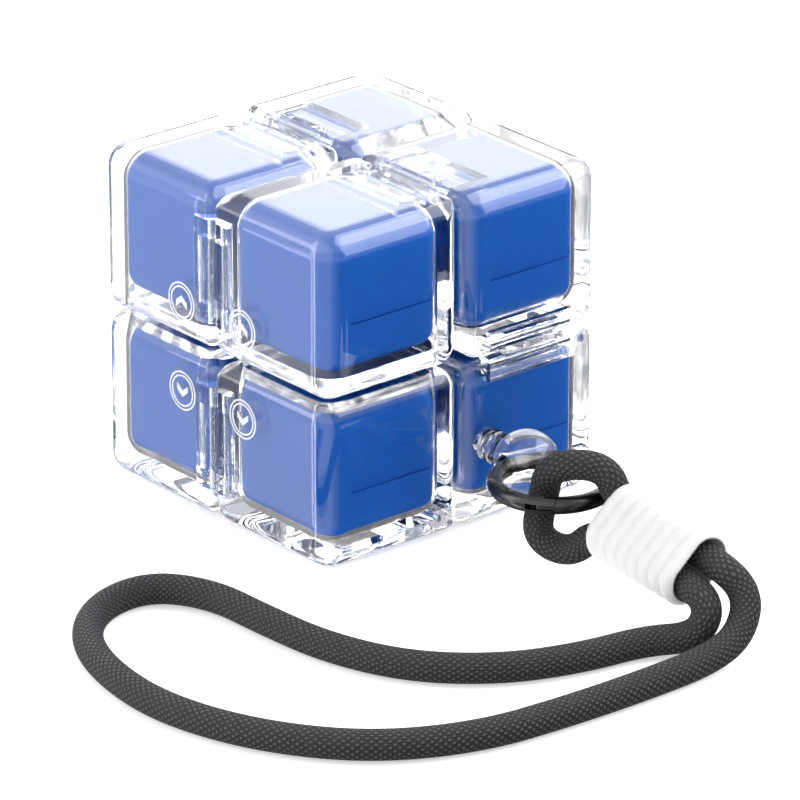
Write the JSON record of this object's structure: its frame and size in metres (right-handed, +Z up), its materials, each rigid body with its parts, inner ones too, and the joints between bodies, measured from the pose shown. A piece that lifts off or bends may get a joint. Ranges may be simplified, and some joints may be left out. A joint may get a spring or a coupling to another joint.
{
  "type": "folding fidget cube with lanyard",
  "caption": "Folding fidget cube of clear plastic cubes with blue cores, joined by two-pin hinges, on a black wrist lanyard with a gate ring.",
  "frame": {"origin": "centre of the closed cube's underside", "axes": "+Z up; the left face of the picture is -Y and the right face, which carries the lanyard, is +X"},
  "size_m": [0.088, 0.0786, 0.04],
  "materials": {
    "clear_shell": "clear moulded plastic, glossy",
    "blue_core": "royal blue, satin metallic look",
    "clear_hinge": "clear moulded plastic, glossy",
    "steel_pin": "bright drawn wire",
    "black_ring": "glossy black coating",
    "pale_sleeve": "off-white, ribbed, soft satin",
    "black_cord": "tight woven polyester"
  },
  "bodies": {
    "base": {"shell_upper_right": "clear_shell", "cap_upper_right": "clear_shell", "core_upper_right": "blue_core", "leaves_upper_right": "clear_hinge", "shell_lower_right": "clear_shell", "cap_lower_right": "clear_shell", "core_lower_right": "blue_core", "leaves_lower_right": "clear_hinge", "link_side_right": "clear_hinge", "pins_side_right": "steel_pin", "lug": "clear_shell", "ring_body": "black_ring", "gate_pin": "steel_pin", "sleeve": "pale_sleeve", "wrist_cord": "black_cord"},
    "gate": {"ring_gate": "black_ring"},
    "upper_right_link": {"link_upper_right": "clear_hinge", "pins_upper_right": "steel_pin"},
    "upper_front": {"shell_upper_front": "clear_shell", "cap_upper_front": "clear_shell", "core_upper_front": "blue_core", "leaves_upper_front": "clear_hinge"},
    "upper_left_link": {"link_upper_left": "clear_hinge", "pins_upper_left": "steel_pin"},
    "upper_left": {"shell_upper_left": "clear_shell", "cap_upper_left": "clear_shell", "core_upper_left": "blue_core", "leaves_upper_left": "clear_hinge"},
    "upper_back_link": {"link_upper_back": "clear_hinge", "pins_upper_back": "steel_pin"},
    "back_pair": {"shell_upper_back": "clear_shell", "cap_upper_back": "clear_shell", "core_upper_back": "blue_core", "leaves_upper_back": "clear_hinge", "shell_lower_back": "clear_shell", "cap_lower_back": "clear_shell", "core_lower_back": "blue_core", "leaves_lower_back": "clear_hinge", "link_side_back": "clear_hinge", "pins_side_back": "steel_pin"},
    "lower_right_link": {"link_lower_right": "clear_hinge", "pins_lower_right": "steel_pin"},
    "lower_front": {"shell_lower_front": "clear_shell", "cap_lower_front": "clear_shell", "core_lower_front": "blue_core", "leaves_lower_front": "clear_hinge"},
    "lower_left_link": {"link_lower_left": "clear_hinge", "pins_lower_left": "steel_pin"},
    "lower_left": {"shell_lower_left": "clear_shell", "cap_lower_left": "clear_shell", "core_lower_left": "blue_core", "leaves_lower_left": "clear_hinge"},
    "lower_back_link": {"link_lower_back": "clear_hinge", "pins_lower_back": "steel_pin"}
  },
  "joints": [
    {"name": "upper_fold", "type": "hinge", "parent": "base", "child": "upper_right_link", "pos_m": [0.0101, 0.0012, 0.039], "axis": [-1, 0, 0], "range_deg": [0, 90]},
    {"name": "upper_fold_front", "type": "hinge", "parent": "upper_right_link", "child": "upper_front", "pos_m": [0.0101, -0.0012, 0.039], "axis": [-1, 0, 0], "range_deg": [0, 90]},
    {"name": "book_fold", "type": "hinge", "parent": "upper_front", "child": "upper_left_link", "pos_m": [0.0012, -0.019, 0.0301], "axis": [0, 0, 1], "range_deg": [0, 90], "deforming": ["wrist_cord"]},
    {"name": "book_fold_left", "type": "hinge", "parent": "upper_left_link", "child": "upper_left", "pos_m": [-0.0012, -0.019, 0.0301], "axis": [0, 0, 1], "range_deg": [0, 90]},
    {"name": "upper_fold_back", "type": "hinge", "parent": "upper_left", "child": "upper_back_link", "pos_m": [-0.0101, -0.0012, 0.039], "axis": [1, 0, 0], "range_deg": [0, 90]},
    {"name": "upper_fold_back_pair", "type": "hinge", "parent": "upper_back_link", "child": "back_pair", "pos_m": [-0.0101, 0.0012, 0.039], "axis": [1, 0, 0], "range_deg": [0, 90]},
    {"name": "lower_fold", "type": "hinge", "parent": "base", "child": "lower_right_link", "pos_m": [0.0101, 0.0012, 0.001], "axis": [1, 0, 0], "range_deg": [0, 90]},
    {"name": "lower_fold_front", "type": "hinge", "parent": "lower_right_link", "child": "lower_front", "pos_m": [0.0101, -0.0012, 0.001], "axis": [1, 0, 0], "range_deg": [0, 90]},
    {"name": "book_fold_lower", "type": "hinge", "parent": "lower_front", "child": "lower_left_link", "pos_m": [0.0012, -0.019, 0.0099], "axis": [0, 0, 1], "range_deg": [0, 90]},
    {"name": "book_fold_lower_left", "type": "hinge", "parent": "lower_left_link", "child": "lower_left", "pos_m": [-0.0012, -0.019, 0.0099], "axis": [0, 0, 1], "range_deg": [0, 90]},
    {"name": "lower_fold_back", "type": "hinge", "parent": "lower_left", "child": "lower_back_link", "pos_m": [-0.0101, -0.0012, 0.001], "axis": [-1, 0, 0], "range_deg": [0, 90]},
    {"name": "gate_swing", "type": "hinge", "parent": "base", "child": "gate", "pos_m": [0.03652, -0.0029, 0.0095], "axis": [0, 0, 1], "range_deg": [0, 28], "stiffness_Nm_per_rad": 0.001, "springref_deg": -17.19}
  ],
  "couplings": [
    {"joint": "upper_fold_front", "follows": "upper_fold", "ratio": 1},
    {"joint": "upper_fold_back", "follows": "upper_fold", "ratio": 1},
    {"joint": "upper_fold_back_pair", "follows": "upper_fold", "ratio": 1},
    {"joint": "book_fold_left", "follows": "book_fold", "ratio": 1},
    {"joint": "book_fold_lower", "follows": "book_fold", "ratio": 1},
    {"joint": "book_fold_lower_left", "follows": "book_fold", "ratio": 1},
    {"joint": "lower_fold_front", "follows": "lower_fold", "ratio": 1},
    {"joint": "lower_fold_back", "follows": "lower_fold", "ratio": 1}
  ]
}
